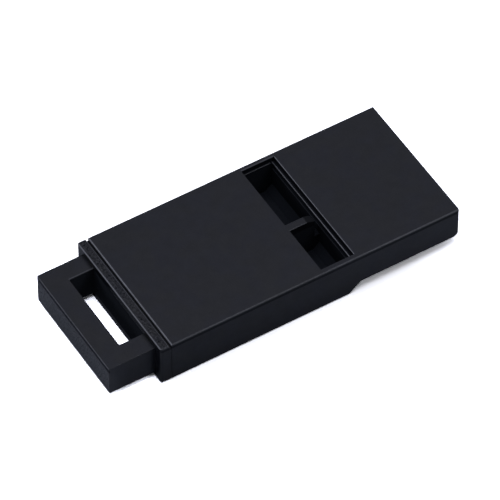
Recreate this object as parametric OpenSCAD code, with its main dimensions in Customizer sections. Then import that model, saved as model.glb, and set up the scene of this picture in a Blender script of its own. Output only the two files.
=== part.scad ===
// Flat two-tone whistle: a moulded body with two air chambers side by side, and an
// end cap that plugs both chambers and carries the lanyard tab.
// Millimetres. +X points to the mouthpiece, +Y to the wider chamber's side, +Z up.
// The origin is on the resting face, at the middle of the whole length and width.
// Places along X are first measured from the seam, where the cap meets the body.

/* [Body shell] */
// Length of the body from the seam to the mouth end
body_len = 38.54; // [36:0.02:60]
// Width of the body and of the cap's flange
body_w = 18.6; // [16:0.1:26]
// Height of the body and of the cap's flange
body_h = 5.95; // [5.4:0.05:9]
// Thickness of the long side walls
side_wall = 0.77; // [0.5:0.01:1.2]
// Thickness of the top wall over the chambers
top_wall = 0.9; // [0.6:0.05:1.2]
// Thickness of the bottom wall
floor_wall = 0.7; // [0.5:0.05:1.2]
// Rounding of the long edges, of the mouth end's top and of the body's top at the seam
edge_r = 0.2; // [0.1:0.02:0.3]
// Rounding of both edges of the seam on the sides and the underside
seam_edge_r = 0.08; // [0.04:0.01:0.15]
// Rounding of the upright corners at the mouth end
mouth_corner_r = 0.3; // [0.2:0.05:1.5]

/* [Chambers] */
// Width of the narrow chamber, on the -Y side
narrow_w = 6.66; // [5:0.01:7.6]
// Thickness of the dividing wall between the chambers
divider_t = 1; // [0.8:0.02:2]

/* [Window and lip] */
// Distance from the seam to the labium, the edge that splits the jets
labium_x = 20.15; // [16:0.01:22]
// Length of the window at the top face
window_len = 4.43; // [4.2:0.01:6]
// Depth of the labium's rim below the top face
labium_depth = 1.25; // [1:0.05:1.7]
// Length of the slope that thickens the top wall into the labium's rim
labium_slope = 3; // [1.5:0.1:5]
// Depth of the shallow recess round the window
recess_d = 0.7; // [0.4:0.05:0.8]
// Width of the recess's ledge along the side walls
ledge_side = 0.13; // [0.1:0.01:0.2]
// Rounding of that ledge's inner edge
ledge_edge_r = 0.08; // [0.04:0.01:0.1]
// How far the windway's lip stands out under the recess
ledge_lip = 0.33; // [0.2:0.01:0.45]
// Rounding of the roof's edge at the window
roof_edge_r = 0.1; // [0.05:0.01:0.25]
// Rounding of the lip over the windways
lip_edge_r = 0.12; // [0.05:0.01:0.2]
// Rounding of the windway floor's edge
jet_edge_r = 0.08; // [0.05:0.01:0.2]

/* [Divider in the window] */
// Length of the divider that stays level with the top face
divider_flat = 2.4; // [1:0.02:2.5]
// Rounding of the two edges of that level stretch
divider_edge_r = 0.1; // [0.04:0.01:0.3]
// Length of its falling nose
nose_len = 1; // [0.5:0.05:1.1]
// Fall of the nose
nose_drop = 0.38; // [0.1:0.02:0.5]
// Depth of the notch between the nose and the windway's face
notch_d = 3; // [2:0.1:3.2]

/* [Windways] */
// Thickness of the roof over the windways
roof_t = 1; // [0.95:0.05:1.1]
// Height of a windway where it leaves into the window
windway_out = 0.76; // [0.5:0.02:0.9]
// Height of a windway at the mouth end
windway_in = 1.6; // [1:0.1:2]
// Length of the level stretch of the windway floor behind its edge
windway_level = 2; // [1:0.1:4]
// How far the web between the windways stays back from the window
web_back = 1; // [0.5:0.1:2]

/* [Stepped underside] */
// Thickness of the mouthpiece
mouth_h = 4.5; // [4.2:0.1:5]
// Distance from the seam to the foot of the ramp
ramp_x = 23.5; // [23.2:0.05:26]
// Length of the ramp along the body
ramp_len = 1.7; // [1.2:0.05:4]
// Height of the slope that carries the chamber floor over the ramp
heel_h = 0.8; // [0.5:0.1:1.6]
// Rounding of the mouthpiece's lower edge
bite_r = 0.9; // [0.2:0.05:1.2]

/* [End cap] */
// Thickness of the flange in front of the groove
flange_t = 1.08; // [0.8:0.02:2]
// Rounding of the flange's edges round its outer face
flange_edge_r = 0.15; // [0.06:0.01:0.3]
// Rounding of the flange's upright outer corners
flange_corner_r = 0.3; // [0.2:0.05:0.9]
// Rounding of the flange's top edge beside the groove
flange_inner_r = 0.08; // [0.04:0.01:0.2]
// Width of the groove that crosses the top between the flange and the body
groove_w = 0.34; // [0.14:0.02:0.6]
// Depth of the groove
groove_d = 0.5; // [0.2:0.01:0.6]
// Length of the two spigots inside the chambers
spigot_len = 3; // [2:0.5:8]
// Gap between a spigot and its chamber's walls
spigot_gap = 0.05; // [0.02:0.01:0.1]
// Chamfer at the spigots' tips
spigot_lead = 0.3; // [0.1:0.05:0.5]

/* [Lanyard tab] */
// Length of the tab outside the flange
tab_len = 6.04; // [5.2:0.02:10]
// Width of the tab
tab_w = 16.14; // [14:0.02:16.6]
// Thickness of the tab, midway in the flange's height
tab_h = 4.3; // [3:0.1:4.8]
// Thickness of the bar across the tab's end
bar_t = 2.81; // [1.6:0.01:3.4]
// Width of each of the two arms beside the slot
arm_w = 2.47; // [1.6:0.01:4]
// Rounding of the slot's two outer corners
slot_r = 0.25; // [0.15:0.05:0.8]
// Rounding of the tab's upright corners
tab_corner_r = 0.1; // [0.1:0.05:1]
// Rounding of the tab's top and bottom edges
tab_edge_r = 0.05; // [0.04:0.01:0.09]

/* [Hidden] */
$fn = 48;
body_colour = [0.045, 0.047, 0.052];
cap_colour = [0.05, 0.052, 0.058];
cut = 0.5;
total_len = tab_len + flange_t + groove_w + body_len;
seam_x = -total_len / 2 + tab_len + flange_t + groove_w;
cap_t = flange_t + groove_w;
flange_x = -cap_t;
tab_x = flange_x - tab_len;
ceiling_z = body_h - top_wall;
mouth_z = body_h - mouth_h;
roof_x = labium_x + window_len;
face_x = roof_x - ledge_lip;
recess_z = body_h - recess_d;
roof_z = body_h - roof_t;
jet_z = roof_z - windway_out;
inlet_z = roof_z - windway_in;
nose_x = labium_x + divider_flat;
narrow_y = side_wall;
wide_y = side_wall + narrow_w + divider_t;
wide_w = body_w - wide_y - side_wall;
heel_run = heel_h * ramp_len / mouth_z;
slot_len = tab_w - 2 * arm_w;
slot_w = tab_len - bar_t;

// Outlines

module rounded_rect(size, r) {
    translate([r, 0]) square([size[0] - 2 * r, size[1]]);
    translate([0, r]) square([size[0], size[1] - 2 * r]);
    for (x = [r, size[0] - r], y = [r, size[1] - r])
        translate([x, y]) circle(r);
}

// What lies outside a round of radius r in a corner at the origin, with the
// rounded piece in the quadrant of +X and +Y
module corner_waste(r) {
    difference() {
        translate([-cut / 2, -cut / 2]) square(r + cut / 2);
        translate([r, r]) circle(r);
    }
}

// An outline drawn in X and Z, given a thickness from y along +Y
module along_y(y, length) {
    translate([0, y + length, 0])
        rotate([90, 0, 0])
            linear_extrude(length) children();
}

// An outline drawn in Y and Z, given a thickness from x along +X
module along_x(x, length) {
    translate([x, 0, 0])
        rotate([90, 0, 90])
            linear_extrude(length) children();
}

module body_side_outline() {
    difference() {
        square([body_len, body_h]);
        corner_waste(seam_edge_r);
        translate([0, body_h]) mirror([0, 1]) corner_waste(edge_r);
        translate([body_len, body_h]) mirror([1, 0]) mirror([0, 1]) corner_waste(edge_r);
        polygon([
            [ramp_x - cut * ramp_len / mouth_z, -cut],
            [ramp_x + ramp_len, mouth_z],
            [body_len + cut, mouth_z],
            [body_len + cut, -cut]
        ]);
        translate([body_len, mouth_z]) mirror([1, 0]) corner_waste(bite_r);
    }
}

module body_plan_outline() {
    difference() {
        square([body_len, body_w]);
        for (side = [0, 1]) translate([0, side * body_w]) mirror([0, side]) {
            corner_waste(seam_edge_r);
            translate([body_len, 0]) mirror([1, 0]) corner_waste(mouth_corner_r);
        }
    }
}

module section_outline(r) {
    rounded_rect([body_w, body_h], r);
}

// Air space of one chamber and its windway, drawn in X and Z
module air_outline() {
    polygon([
        [-cut, floor_wall],
        [face_x - heel_run, floor_wall],
        [face_x, floor_wall + heel_h],
        [face_x, jet_z],
        [face_x + windway_level, jet_z],
        [body_len, inlet_z],
        [body_len + cut, inlet_z],
        [body_len + cut, roof_z],
        [face_x, roof_z],
        [face_x, body_h],
        [labium_x, body_h],
        [labium_x, body_h - labium_depth],
        [labium_x - labium_slope, ceiling_z],
        [-cut, ceiling_z]
    ]);
    translate([face_x, jet_z]) mirror([0, 1]) corner_waste(jet_edge_r);
}

// Mouth of the window above the recess's ledge
module recess_outline() {
    polygon([
        [labium_x, recess_z],
        [roof_x, recess_z],
        [roof_x, body_h + cut],
        [labium_x, body_h + cut]
    ]);
    translate([roof_x, body_h]) mirror([0, 1]) corner_waste(roof_edge_r);
    translate([face_x, recess_z]) mirror([0, 1]) corner_waste(lip_edge_r);
}

// What is cut from the divider in the window: its nose, the notch and the
// common end of the two windways
module divider_outline() {
    polygon([
        [nose_x, body_h],
        [nose_x + nose_len, body_h - nose_drop],
        [nose_x + nose_len, body_h - notch_d],
        [face_x, body_h - notch_d],
        [face_x, jet_z],
        [face_x + web_back, jet_z],
        [face_x + web_back, roof_z],
        [face_x, roof_z],
        [face_x, recess_z],
        [roof_x, recess_z],
        [roof_x, body_h + cut],
        [nose_x, body_h + cut]
    ]);
    translate([roof_x, body_h]) mirror([0, 1]) corner_waste(roof_edge_r);
    translate([face_x, recess_z]) mirror([0, 1]) corner_waste(lip_edge_r);
    translate([face_x, jet_z]) mirror([0, 1]) corner_waste(jet_edge_r);
}

// Rounds of both inner edges of the recess's side ledges
module ledge_edges() {
    along_x(labium_x, face_x - labium_x) {
        translate([narrow_y, recess_z]) mirror([1, 0]) mirror([0, 1]) corner_waste(ledge_edge_r);
        translate([wide_y + wide_w, recess_z]) mirror([0, 1]) corner_waste(ledge_edge_r);
    }
}

// Rounds of both top edges of the divider's level stretch
module divider_edges() {
    along_x(labium_x, divider_flat) {
        translate([wide_y - divider_t, body_h]) mirror([0, 1]) corner_waste(divider_edge_r);
        translate([wide_y, body_h]) mirror([1, 0]) mirror([0, 1]) corner_waste(divider_edge_r);
    }
}

// Whistle body

module body_envelope() {
    intersection() {
        along_y(0, body_w) body_side_outline();
        along_x(0, body_len) section_outline(edge_r);
        linear_extrude(body_h) body_plan_outline();
    }
}

module body_shell() {
    difference() {
        body_envelope();
        along_y(narrow_y, narrow_w) air_outline();
        along_y(wide_y, wide_w) air_outline();
        along_y(narrow_y - ledge_side, narrow_w + ledge_side) recess_outline();
        along_y(wide_y, wide_w + ledge_side) recess_outline();
        along_y(narrow_y + narrow_w, divider_t) divider_outline();
        ledge_edges();
        divider_edges();
    }
}

module whistle_body() {
    color(body_colour)
        translate([seam_x, -body_w / 2, 0])
            body_shell();
}

// End cap

module flange_side_outline() {
    difference() {
        square([cap_t, body_h]);
        corner_waste(flange_edge_r);
        translate([0, body_h]) mirror([0, 1]) corner_waste(flange_edge_r);
        translate([flange_t, body_h]) mirror([1, 0]) mirror([0, 1]) corner_waste(flange_inner_r);
        translate([flange_t, body_h - groove_d]) square([groove_w + cut, groove_d + cut]);
        translate([cap_t, 0]) mirror([1, 0]) corner_waste(seam_edge_r);
    }
}

module flange_plan_outline() {
    difference() {
        square([cap_t, body_w]);
        for (side = [0, 1]) translate([0, side * body_w]) mirror([0, side]) {
            corner_waste(flange_corner_r);
            translate([cap_t, 0]) mirror([1, 0]) corner_waste(seam_edge_r);
        }
    }
}

// The flange reaches the body's end face, except in the groove across its top
module flange() {
    translate([flange_x, 0, 0]) intersection() {
        along_y(0, body_w) flange_side_outline();
        along_x(0, cap_t) section_outline(edge_r);
        linear_extrude(body_h) flange_plan_outline();
    }
}

module spigot(y, width) {
    span_w = width - 2 * spigot_gap;
    span_h = ceiling_z - floor_wall - 2 * spigot_gap;
    start = -groove_w;
    reach = spigot_len + groove_w;
    translate([start, y + spigot_gap, floor_wall + spigot_gap]) intersection() {
        along_y(0, span_w) tip_outline(reach, span_h);
        linear_extrude(span_h) tip_outline(reach, span_w);
    }
}

// Rectangle with both far corners cut at 45 degrees
module tip_outline(reach, across) {
    polygon([
        [0, 0],
        [reach - spigot_lead, 0],
        [reach, spigot_lead],
        [reach, across - spigot_lead],
        [reach - spigot_lead, across],
        [0, across]
    ]);
}

module tab_plan_outline() {
    difference() {
        square([tab_len + flange_t / 2, tab_w]);
        for (side = [0, 1]) translate([0, side * tab_w]) mirror([0, side])
            corner_waste(tab_corner_r);
        slot_outline();
    }
}

// The slot runs up to the flange, which closes its inner side
module slot_outline() {
    translate([bar_t, arm_w]) difference() {
        square([slot_w, slot_len]);
        for (side = [0, 1]) translate([0, side * slot_len]) mirror([0, side])
            corner_waste(slot_r);
    }
}

module tab() {
    translate([tab_x, (body_w - tab_w) / 2, (body_h - tab_h) / 2]) intersection() {
        linear_extrude(tab_h) tab_plan_outline();
        along_x(0, tab_len + flange_t / 2) rounded_rect([tab_w, tab_h], tab_edge_r);
        along_y(0, tab_w) difference() {
            square([tab_len + flange_t / 2, tab_h]);
            for (side = [0, 1]) translate([0, side * tab_h]) mirror([0, side])
                corner_waste(tab_edge_r);
        }
    }
}

module end_cap() {
    color(cap_colour)
        translate([seam_x, -body_w / 2, 0]) {
            flange();
            tab();
            spigot(narrow_y, narrow_w);
            spigot(wide_y, wide_w);
        }
}

whistle_body();
end_cap();
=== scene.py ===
"""Looks of a flat two-tone survival whistle: satin black moulded plastic on a white studio floor.

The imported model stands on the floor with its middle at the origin: X runs to the mouthpiece, Y to
the wide chamber's side and Z up through the windows. Lengths are in millimetres until they reach
Blender.
"""
import math
from types import SimpleNamespace
from typing import NamedTuple

import bmesh
import bpy
from mathutils import Matrix, Vector


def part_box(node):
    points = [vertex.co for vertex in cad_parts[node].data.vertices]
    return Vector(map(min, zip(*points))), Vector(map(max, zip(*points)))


MM = 0.001

# Camera
CAMERA_AZIMUTH = -31.518
CAMERA_ELEVATION = 49.775
CAMERA_DISTANCE = 615.16
CAMERA_LENS = 386.65
CAMERA_SENSOR = 36.0
CAMERA_NEAR = 50
CAMERA_FAR = 10000
CAMERA_TARGET = (0.594, 0.187, 2.982)

# Sizes of the end cap
TAB_LENGTH = 6.04
TAB_HALF_WIDTH = 8.07
TAB_BOTTOM = 0.825
TAB_TOP = 5.125
TAB_ROUND = 0.05
SLOT_LENGTH = 3.23
SLOT_HALF_WIDTH = 5.6
FLANGE = 1.08
FLANGE_ROUND = 0.15
FLANGE_INNER_ROUND = 0.08

# Sizes of the body
SEAM_TO_LABIUM = 20.15
WINDOW = 4.43
LIP = 0.33
LIP_ROUND = 0.12
ROOF_ROUND = 0.1
ROOF_WALL = 1.0
WINDWAY_OUTLET = 0.76
SIDE_WALL = 0.77
BOTTOM_WALL = 0.7
RECESS = 0.7
RECESS_LEDGE = 0.13
NARROW_CHAMBER = 6.66
DIVIDER = 1.0
DIVIDER_FLAT = 2.4
DIVIDER_NOSE = 1.0
SEAM_TO_RAMP = 23.5
RAMP = 1.7
MOUTHPIECE = 4.5
MOUTH_CORNER_ROUND = 0.3

# How far a zone reaches past its faces, and how wide its soft and its crisp sides are
PAST = 0.1
SOFT = 0.1
CRISP = 0.02

# Painted shade: dark, dull bands just under a top edge, between two depths below the top of their
# face
LONG_SHADE_BAND = (0.57, 0.29)
LONG_SHADE_BAND_STRENGTH = 0.42
TAB_SHADE_BAND = (0.6, 0.2)

# Widths of the painted highlight strips, and where the painted edge highlight and rubbing change
RAIL_HIGHLIGHT_STRIP = 0.2
SLOT_HIGHLIGHT_STRIP = 0.14
DIVIDER_TO_SHADED_LIP = 1.5
MOUTH_HIGHLIGHT_AND_RUB_START = 8.0
MOUTH_HIGHLIGHT_AND_RUB_END = 13.0

# Colours of the plastic
BLACK = (0.0034, 0.0040, 0.0056, 1.0)
BLUE_BLACK = (0.0026, 0.0036, 0.0078, 1.0)
# Paler colour of the rounded edges: painted highlight, with some rubbing
RUBBED_EDGE_AND_HIGHLIGHT = (0.19, 0.195, 0.215, 1.0)
# Flat black of the dull boxes: partly a dull finish, partly painted shade. The grey is painted
# light in shade.
DULL_AND_SHADE_BLACK = (0.0050, 0.0058, 0.0078, 1.0)
PAINTED_LIGHT_GREY = (0.021, 0.024, 0.030, 1.0)

# Patterns in the plastic, with their scale in waves a metre
GRAIN = {"Scale": 5200.0, "Detail": 3.0, "Roughness": 0.55}
CLOUD = {"Scale": 700.0, "Detail": 4.0}
TINT = {"Scale": 420.0, "Detail": 1.0}
FLECK = {"Scale": 5000.0, "Detail": 3.0, "Roughness": 0.6}
TINT_SPREAD = (-0.15, 0.15)
FLECK_SPREAD = (-0.2, 0.2)
PALE_FLECKS = (-0.02, -0.18)

# Gloss that is lost everywhere, and with the cloud and the flecks
PLAIN_DULLNESS = 0.07
CLOUD_DULLNESS = 0.24
FLECK_DULLNESS = 0.20

# Roughness of the plastic
CLOUD_ROUGHNESS = 0.06
RUBBED_ROUGHNESS = 0.08
DULL_ZONE_ROUGHNESS = 0.20
FLAT_ROUGHNESS = 0.9

# Painted highlight and rubbing on the edges, and how much the flecks and the tint vary them
CROSS_EDGE_HIGHLIGHT_AND_RUB = 0.7
LONG_EDGE_HIGHLIGHT_AND_RUB = 0.25
MOUTH_EDGE_HIGHLIGHT_AND_RUB = 0.09
FLECK_UNEVENNESS = 0.4
TINT_UNEVENNESS = 0.24

# Flecks of the mottled faces
MOTTLED_DULLNESS = 4.0
MOTTLED_RUB = 0.10
MOTTLED_RELIEF = 12.0

# Z of the normal where a level face turns into a round, and where a wall does
LEVEL_TO_ROUND = (0.99, 0.95)
WALL_TO_ROUND = (0.05, 0.2)

# X of the normal between the long edges and those that run across
LONG_TO_CROSSING = (0.1, 0.3)

# Floor, with the stretches along X over which it turns paler: painted light on the floor, in the
# felt that the whistle reflects and in the white that the camera sees
FELT = (0.31, 0.33, 0.37, 1.0)
LIT_FELT = (0.55, 0.585, 0.655, 1.0)
OVEREXPOSED = (3.2, 3.15, 3.0, 1.0)
BURNT_OUT = (7.0, 7.0, 7.0, 1.0)
LIT_FELT_BY_TAB = (-19, -23)
LIT_FELT_BY_MOUTH = (-14, 24)
WHITE_BY_TAB = (-15.5, -18)
WHITE_BY_MOUTH = (14, 26)
TAB_PAINTED_LIGHT = 0.85
MOUTH_PAINTED_LIGHT = 0.35
FLOOR_HALF_SIZE = 600

# Lights
LAMP_DISTANCE = 900
WORLD_LIGHT = 0.06
COOL_WHITE = (0.95, 0.98, 1.10)
SKY_WHITE = (0.95, 0.98, 1.12)
BLUE_WHITE = (0.93, 0.96, 1.18)


def mm(*values):
    """Millimetres to Blender's metres."""
    return Vector(values) * MM


class Value:
    """An output of a shader's nodes that can be written in sums and products."""

    def __init__(self, nodes, socket):
        self.nodes = nodes
        self.socket = socket

    def _math(self, operation, *terms):
        return self.nodes.add("ShaderNodeMath", {"operation": operation}, dict(enumerate(terms)))

    def __add__(self, other):
        return self._math("ADD", self, other)

    def __radd__(self, other):
        return self._math("ADD", other, self)

    def __sub__(self, other):
        return self._math("SUBTRACT", self, other)

    def __rsub__(self, other):
        return self._math("SUBTRACT", other, self)

    def __mul__(self, other):
        return self._math("MULTIPLY", self, other)

    def __rmul__(self, other):
        return self._math("MULTIPLY", other, self)

    def __abs__(self):
        return self._math("ABSOLUTE", self)


class Nodes:
    """The nodes of one material or world."""

    def __init__(self, tree):
        self.tree = tree
        self.tree.nodes.clear()

    def add(self, kind, settings=None, inputs=None, out=0):
        """Adds a node, sets it up and fills or links its sockets. Returns one of its outputs."""
        node = self.tree.nodes.new(kind)
        for name, value in (settings or {}).items():
            setattr(node, name, value)
        for name, value in (inputs or {}).items():
            if isinstance(value, Value):
                self.tree.links.new(value.socket, node.inputs[name])
            else:
                node.inputs[name].default_value = value
        return Value(self, node.outputs[out]) if len(node.outputs) else node

    def split(self, vector):
        """The X, Y and Z of a vector."""
        parts = self.add("ShaderNodeSeparateXYZ", inputs={"Vector": vector}).socket.node.outputs
        return [Value(self, part) for part in parts]

    def ramp(self, value, start, end):
        """0 at start, 1 at end and a smooth step between them, in either order."""
        return self.add("ShaderNodeMapRange", {"interpolation_type": "SMOOTHSTEP"},
                        {"Value": value, "From Min": start, "From Max": end})

    def noise(self, place, pattern):
        """A noise pattern with its values on both sides of 0."""
        return self.add("ShaderNodeTexNoise", inputs={"Vector": place, **pattern}) - 0.5

    def mix_colours(self, factor, first, second):
        """The first colour where the factor is 0 and the second where it is 1."""
        return self.add("ShaderNodeMix", {"data_type": "RGBA"},
                        {"Factor": factor, "A": first, "B": second}, out="Result")

    def mix_shaders(self, factor, first, second):
        """The first shader where the factor is 0 and the second where it is 1."""
        return self.add("ShaderNodeMixShader", inputs={0: factor, 1: first, 2: second})


def new_material(name):
    material = bpy.data.materials.new(name)
    material.use_nodes = True
    return material, Nodes(material.node_tree)


# Zones of the whistle's surface

class DullAndShade(NamedTuple):
    """A box whose faces lose some of their gloss to flat black, partly a dull finish and partly
    painted shade, or, at a painted light of 1, grey.
    """
    box: tuple
    gloss_lost: float
    painted_light: float = 0.0


class HighlightAndRub(NamedTuple):
    """A box whose edges keep a share of their painted highlight and rubbing, and the painted
    highlight added to all faces in it.
    """
    box: tuple
    kept: float = 1.0
    added: float = 0.0


def zone(x, y, z):
    """The lowest and highest corners of a box with these ranges."""
    return tuple(zip(x, y, z))


def reach(start, end):
    """The range between two places, and a little past both."""
    return start - PAST, end + PAST


def find_places():
    """Where the whistle's faces lie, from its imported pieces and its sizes."""
    body_low, body_high = [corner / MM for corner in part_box("whistle_body")]
    cap_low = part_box("end_cap")[0] / MM
    at = SimpleNamespace(tab_end=cap_low.x, seam=body_low.x, mouth_end=body_high.x,
                         side=body_high.y, top=body_high.z)
    at.flange_face = at.tab_end + TAB_LENGTH
    at.slot_end = at.flange_face - SLOT_LENGTH
    at.groove = at.flange_face + FLANGE
    at.labium = at.seam + SEAM_TO_LABIUM
    at.nose = at.labium + DIVIDER_FLAT
    at.nose_foot = at.nose + DIVIDER_NOSE
    at.roof_edge = at.labium + WINDOW
    at.lip_face = at.roof_edge - LIP
    at.ramp_foot = at.seam + SEAM_TO_RAMP
    at.ramp_top = at.ramp_foot + RAMP
    at.chamber_side = at.side - SIDE_WALL
    at.recess_side = at.chamber_side + RECESS_LEDGE
    at.divider_front = NARROW_CHAMBER - at.chamber_side
    at.divider_back = at.divider_front + DIVIDER
    at.recess_floor = at.top - RECESS
    at.windway_roof = at.top - ROOF_WALL
    at.windway_floor = at.windway_roof - WINDWAY_OUTLET
    at.mouthpiece_bottom = at.top - MOUTHPIECE
    return at


def long_shade_bands(at):
    """Painted shade: the dark, dull bands just under the top edge of both long sides."""
    length = reach(at.flange_face, at.mouth_end)
    heights = [at.top - depth for depth in LONG_SHADE_BAND]
    return [DullAndShade(zone(length, reach(side, side), heights), LONG_SHADE_BAND_STRENGTH)
            for side in (-at.side, at.side)]


def in_zone(n, place, box, soft=SOFT):
    """1 inside a zone and 0 outside it, with soft sides."""
    sides = []
    for axis, start, end in zip(place, *box):
        sides.append(n.ramp(axis, (start - soft) * MM, start * MM))
        sides.append(n.ramp(axis, (end + soft) * MM, end * MM))
    return math.prod(sides[1:], start=sides[0])


# Plastic

def highlight_and_rub_on_edges(n, place):
    """How pale the rounded edges are painted, as highlight with some rubbing: most on those that
    run across the whistle.

    On faces square to the axes it is 0. The long edges get more of it by the mouth.
    """
    normal = n.add("ShaderNodeNewGeometry", out="True Normal")
    across, _, upright = [abs(part) for part in n.split(normal)]
    rounded = n.ramp(upright, *LEVEL_TO_ROUND) * n.ramp(upright, *WALL_TO_ROUND)
    by_mouth = n.ramp(place[0], MOUTH_HIGHLIGHT_AND_RUB_START * MM, MOUTH_HIGHLIGHT_AND_RUB_END * MM)
    long_edges = LONG_EDGE_HIGHLIGHT_AND_RUB + by_mouth * MOUTH_EDGE_HIGHLIGHT_AND_RUB
    return rounded * (n.ramp(across, *LONG_TO_CROSSING) * CROSS_EDGE_HIGHLIGHT_AND_RUB + long_edges)


def satin_plastic(name, grain_height, roughness, dulls, rubs, mottled=(), slopes=()):
    """Black moulded plastic with a fine satin texture, and paler rounded edges: painted highlight
    with a little rubbing.

    The mottled boxes show the flecks of a rougher mould face. The slopes are boxes round sloping
    faces, which get no painted highlight or rubbing as edges do.
    """
    material, n = new_material(name)
    coordinates = n.add("ShaderNodeTexCoord", out="Object")
    place = n.split(coordinates)
    grain, cloud, tint, fleck = [n.noise(coordinates, pattern)
                                 for pattern in (GRAIN, CLOUD, TINT, FLECK)]
    bluish = n.ramp(tint, *TINT_SPREAD)

    uneven_by_fleck = 1 - FLECK_UNEVENNESS + n.ramp(fleck, *FLECK_SPREAD) * FLECK_UNEVENNESS
    uneven_by_tint = 1 - TINT_UNEVENNESS / 2 + bluish * TINT_UNEVENNESS
    uneven = uneven_by_fleck * uneven_by_tint
    # Painted highlight, with some rubbing, on the rounded edges and in the rub boxes
    highlight_and_rub = highlight_and_rub_on_edges(n, place) * uneven
    for box in slopes:
        highlight_and_rub = highlight_and_rub * (1 - in_zone(n, place, box, CRISP))
    for rub in rubs:
        inside = in_zone(n, place, rub.box, CRISP)
        highlight_and_rub = highlight_and_rub * (1 - inside * (1 - rub.kept)) + inside * uneven * rub.added

    dullness_and_shade = PLAIN_DULLNESS + cloud * CLOUD_DULLNESS + fleck * FLECK_DULLNESS
    rough = roughness + cloud * CLOUD_ROUGHNESS + highlight_and_rub * RUBBED_ROUGHNESS
    # Dull boxes darken to flat black, partly a dull finish and partly painted shade; their painted
    # light share turns it grey
    painted_light = 0.0
    for dull in dulls:
        inside = in_zone(n, place, dull.box)
        dullness_and_shade = dullness_and_shade + inside * dull.gloss_lost
        rough = rough + inside * DULL_ZONE_ROUGHNESS
        painted_light = painted_light + inside * dull.painted_light

    height = grain
    for box in mottled:
        inside = in_zone(n, place, box, CRISP)
        dullness_and_shade = dullness_and_shade + inside * fleck * MOTTLED_DULLNESS
        highlight_and_rub = highlight_and_rub + inside * n.ramp(fleck, *PALE_FLECKS) * MOTTLED_RUB
        height = height + inside * fleck * MOTTLED_RELIEF

    bump = n.add("ShaderNodeBump", inputs={"Height": height, "Distance": grain_height * MM})
    black = n.mix_colours(bluish, BLACK, BLUE_BLACK)
    satin = n.add("ShaderNodeBsdfPrincipled", inputs={
        "Base Color": n.mix_colours(highlight_and_rub, black, RUBBED_EDGE_AND_HIGHLIGHT),
        "Roughness": rough,
        "Normal": bump})
    # The flat part is black, partly painted shade, or grey where painted light stands in shade
    flat = n.add("ShaderNodeBsdfPrincipled", inputs={
        "Base Color": n.mix_colours(painted_light, DULL_AND_SHADE_BLACK, PAINTED_LIGHT_GREY),
        "Roughness": FLAT_ROUGHNESS,
        "Normal": bump,
        "Specular IOR Level": 0.0})
    n.add("ShaderNodeOutputMaterial", inputs={"Surface": n.mix_shaders(dullness_and_shade, satin, flat)})
    return material


def body_plastic(at):
    """The body's plastic: dull in its chambers, with painted light there; painted shade behind the
    lip.
    """
    chamber_width = reach(-at.chamber_side, at.chamber_side)
    chamber_bottom = BOTTOM_WALL - PAST
    # Dull chamber walls, and painted light: a paler grey standing in for light in their shade
    whole_chambers = zone(reach(at.seam, at.mouth_end), chamber_width,
                          (chamber_bottom, at.windway_roof - SOFT / 2))
    chamber_slopes = zone((at.seam - PAST, at.mouth_end - MOUTH_CORNER_ROUND), chamber_width,
                          (chamber_bottom, at.windway_floor - 2 * PAST))
    nose = zone((at.nose - CRISP, at.nose_foot + PAST), reach(at.divider_front, at.divider_back),
                reach(at.recess_floor, at.top))
    recess_width = reach(-at.recess_side, at.recess_side)
    # Painted shade: the recess wall and ledge behind the lip are turned flat and dark
    shade_behind_lip = zone((at.lip_face + LIP_ROUND + CRISP, at.roof_edge + PAST), recess_width,
                      (at.recess_floor - PAST, at.top - ROOF_ROUND - SOFT / 2))
    ramp = zone(reach(at.ramp_foot, at.ramp_top), (PAST - at.side, at.side - PAST),
                reach(0, at.mouthpiece_bottom))
    # The lip's edge keeps less of its painted highlight, and its back part, past the divider, less
    # still: painted shade
    lip_x = reach(at.lip_face, at.lip_face + LIP_ROUND)
    lip_z = reach(at.recess_floor - LIP_ROUND, at.recess_floor)
    lip = zone(lip_x, recess_width, lip_z)
    shaded_lip = zone(lip_x, (at.divider_back + DIVIDER_TO_SHADED_LIP, at.recess_side + PAST), lip_z)
    # A painted highlight strip along the top of the window's back rail
    back_rail_highlight = zone((at.labium, at.roof_edge),
                     (at.recess_side + CRISP, at.recess_side + RAIL_HIGHLIGHT_STRIP), reach(at.top, at.top))
    return satin_plastic(
        "body_plastic", grain_height=0.006, roughness=0.32,
        dulls=[DullAndShade(whole_chambers, gloss_lost=0.85, painted_light=0.42), DullAndShade(nose, gloss_lost=0.4),
               DullAndShade(shade_behind_lip, gloss_lost=0.7), *long_shade_bands(at)],
        rubs=[HighlightAndRub(lip, kept=0.85), HighlightAndRub(shaded_lip, kept=0.6), HighlightAndRub(back_rail_highlight, added=0.3)],
        slopes=[chamber_slopes, nose, ramp])


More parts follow.
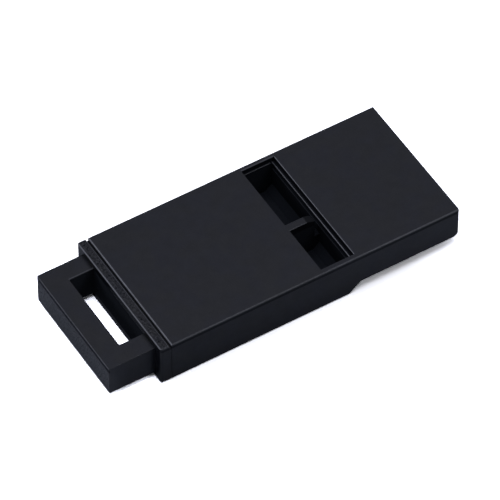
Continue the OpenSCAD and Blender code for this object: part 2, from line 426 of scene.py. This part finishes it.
def cap_plastic(at):
    """The end cap's plastic: dull with painted light in its slot; flecked on the tab's end and
    flange top.
    """
    tab_width = reach(-TAB_HALF_WIDTH, TAB_HALF_WIDTH)
    tab_end = (at.tab_end - PAST, at.tab_end + TAB_ROUND)
    tab_edge_z = reach(TAB_TOP, TAB_TOP)
    # Dull slot walls, and painted light: a paler grey standing in for light in their shade
    slot = zone(reach(at.slot_end, at.flange_face), reach(-SLOT_HALF_WIDTH, SLOT_HALF_WIDTH),
                (TAB_BOTTOM + 2 * PAST, TAB_TOP - 2 * PAST))
    # Painted shade: a dark band just under the tab end's top edge
    tab_shade_band = zone(tab_end, tab_width, [TAB_TOP - depth for depth in TAB_SHADE_BAND])
    tab_end_face = zone(tab_end, tab_width, (TAB_BOTTOM + TAB_ROUND, TAB_TOP - TAB_ROUND))
    flange_top = zone((at.flange_face + FLANGE_ROUND + PAST, at.groove - FLANGE_INNER_ROUND - PAST),
                      reach(-at.side, at.side), reach(at.top, at.top))
    # A painted highlight strip along the slot's back top edge
    slot_back_edge_highlight = zone((at.slot_end, at.flange_face),
                          (SLOT_HALF_WIDTH, SLOT_HALF_WIDTH + SLOT_HIGHLIGHT_STRIP), tab_edge_z)
    # The tab's edges keep little of the painted edge highlight, the long ones almost none
    tab_end_edge = zone(reach(at.tab_end, at.tab_end), tab_width, tab_edge_z)
    tab_long_edges = [zone((at.tab_end + PAST, at.flange_face), reach(side, side), tab_edge_z)
                      for side in (-TAB_HALF_WIDTH, TAB_HALF_WIDTH)]
    return satin_plastic(
        "cap_plastic", grain_height=0.008, roughness=0.34,
        dulls=[DullAndShade(slot, gloss_lost=0.85, painted_light=1.0), DullAndShade(tab_shade_band, gloss_lost=0.5),
               *long_shade_bands(at)],
        rubs=[HighlightAndRub(slot_back_edge_highlight, added=0.35), HighlightAndRub(tab_end_edge, kept=0.75),
              *(HighlightAndRub(edge, kept=0.1) for edge in tab_long_edges)],
        mottled=[tab_end_face, flange_top])


# Studio

def floor_white():
    """A pale floor that the camera sees overexposed, so that only the deepest shadow shows on it.

    What the whistle reflects is grey felt. Past the tab's end and towards the mouthpiece it has
    painted
    light: paler felt, and for the camera a burnt-out white that clears the shadow there.
    """
    material, n = new_material("floor_white")
    along = n.split(n.add("ShaderNodeTexCoord", out="Object"))[0]
    felt, lit_felt, overexposed, burnt_out = [
        n.add("ShaderNodeBsdfDiffuse", inputs={"Color": colour})
        for colour in (FELT, LIT_FELT, OVEREXPOSED, BURNT_OUT)]
    lit_felt_by_tab, lit_felt_by_mouth, white_by_tab, white_by_mouth = [
        n.ramp(along, *mm(*stretch))
        for stretch in (LIT_FELT_BY_TAB, LIT_FELT_BY_MOUTH, WHITE_BY_TAB, WHITE_BY_MOUTH)]
    # Painted light on the floor: paler felt for the whistle's reflections, and a whiter floor for
    # the camera that clears the shadow by the tab and the mouthpiece
    painted_light_share = lit_felt_by_tab * TAB_PAINTED_LIGHT + lit_felt_by_mouth * MOUTH_PAINTED_LIGHT
    whiter = white_by_tab + white_by_mouth * MOUTH_PAINTED_LIGHT
    reflected = n.mix_shaders(painted_light_share, felt, lit_felt)
    seen = n.mix_shaders(whiter, overexposed, burnt_out)
    camera_ray = n.add("ShaderNodeLightPath", out="Is Camera Ray")
    surface = n.mix_shaders(camera_ray, reflected, seen)
    n.add("ShaderNodeOutputMaterial", inputs={"Surface": surface})
    return material


def add_floor():
    mesh = bpy.data.meshes.new("floor")
    b = bmesh.new()
    bmesh.ops.create_grid(b, x_segments=1, y_segments=1, size=FLOOR_HALF_SIZE * MM)
    b.to_mesh(mesh)
    b.free()
    mesh.materials.append(floor_white())
    floor = bpy.data.objects.new("floor", mesh)
    bpy.context.scene.collection.objects.link(floor)


def softbox(name, azimuth, elevation, width, radiance, tint=COOL_WHITE):
    """A square soft panel that faces the whistle, where azimuth 0 is +X and 90 is +Y."""
    a, e = math.radians(azimuth), math.radians(elevation)
    away = Vector((math.cos(a) * math.cos(e), math.sin(a) * math.cos(e), math.sin(e)))
    light = bpy.data.lights.new(name, "AREA")
    light.shape = "SQUARE"
    light.size = width * MM
    light.energy = radiance * math.pi * light.size ** 2
    light.color = tint
    lamp = bpy.data.objects.new(name, light)
    lamp.matrix_world = (Matrix.Translation(away * LAMP_DISTANCE * MM)
                         @ away.to_track_quat("Z", "Y").to_matrix().to_4x4())
    bpy.context.scene.collection.objects.link(lamp)


def add_studio():
    """A dim world that the camera sees as white, and four soft panels."""
    world = bpy.data.worlds.new("studio")
    world.use_nodes = True
    bpy.context.scene.world = world
    n = Nodes(world.node_tree)
    camera_ray = n.add("ShaderNodeLightPath", out="Is Camera Ray")
    level = WORLD_LIGHT + camera_ray * (1 - WORLD_LIGHT)
    white = n.add("ShaderNodeBackground", inputs={"Color": (1, 1, 1, 1), "Strength": level})
    n.add("ShaderNodeOutputWorld", inputs={"Surface": white})
    softbox("window_left", azimuth=142, elevation=25, width=280, radiance=5.5)
    softbox("panel_right", azimuth=46, elevation=52, width=760, radiance=0.39, tint=BLUE_WHITE)
    softbox("front_fill", azimuth=-66, elevation=34, width=300, radiance=3.6)
    softbox("overhead", azimuth=180, elevation=80, width=800, radiance=1.8, tint=SKY_WHITE)


def add_camera():
    a, e = math.radians(CAMERA_AZIMUTH), math.radians(CAMERA_ELEVATION)
    back = Vector((math.sin(a) * math.cos(e), -math.cos(a) * math.cos(e), math.sin(e)))
    data = bpy.data.cameras.new("camera")
    data.lens = CAMERA_LENS
    data.sensor_width = CAMERA_SENSOR
    data.sensor_fit = "HORIZONTAL"
    data.clip_start, data.clip_end = CAMERA_NEAR * MM, CAMERA_FAR * MM
    viewer = bpy.data.objects.new("camera", data)
    viewer.matrix_world = (Matrix.Translation(mm(*CAMERA_TARGET) + back * CAMERA_DISTANCE * MM)
                           @ back.to_track_quat("Z", "Y").to_matrix().to_4x4())
    bpy.context.scene.collection.objects.link(viewer)
    bpy.context.scene.camera = viewer


def give(node, material):
    """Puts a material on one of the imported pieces."""
    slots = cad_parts[node].data.materials
    slots.clear()
    slots.append(material)


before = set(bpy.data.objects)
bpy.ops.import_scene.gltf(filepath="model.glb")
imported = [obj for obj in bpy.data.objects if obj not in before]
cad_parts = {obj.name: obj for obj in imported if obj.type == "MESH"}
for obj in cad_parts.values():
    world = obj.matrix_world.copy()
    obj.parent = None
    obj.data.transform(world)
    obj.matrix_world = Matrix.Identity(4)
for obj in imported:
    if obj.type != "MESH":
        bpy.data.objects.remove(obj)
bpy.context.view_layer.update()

add_camera()
add_studio()
add_floor()
places = find_places()
give("whistle_body", body_plastic(places))
give("end_cap", cap_plastic(places))

bpy.context.scene.view_settings.view_transform = "Standard"
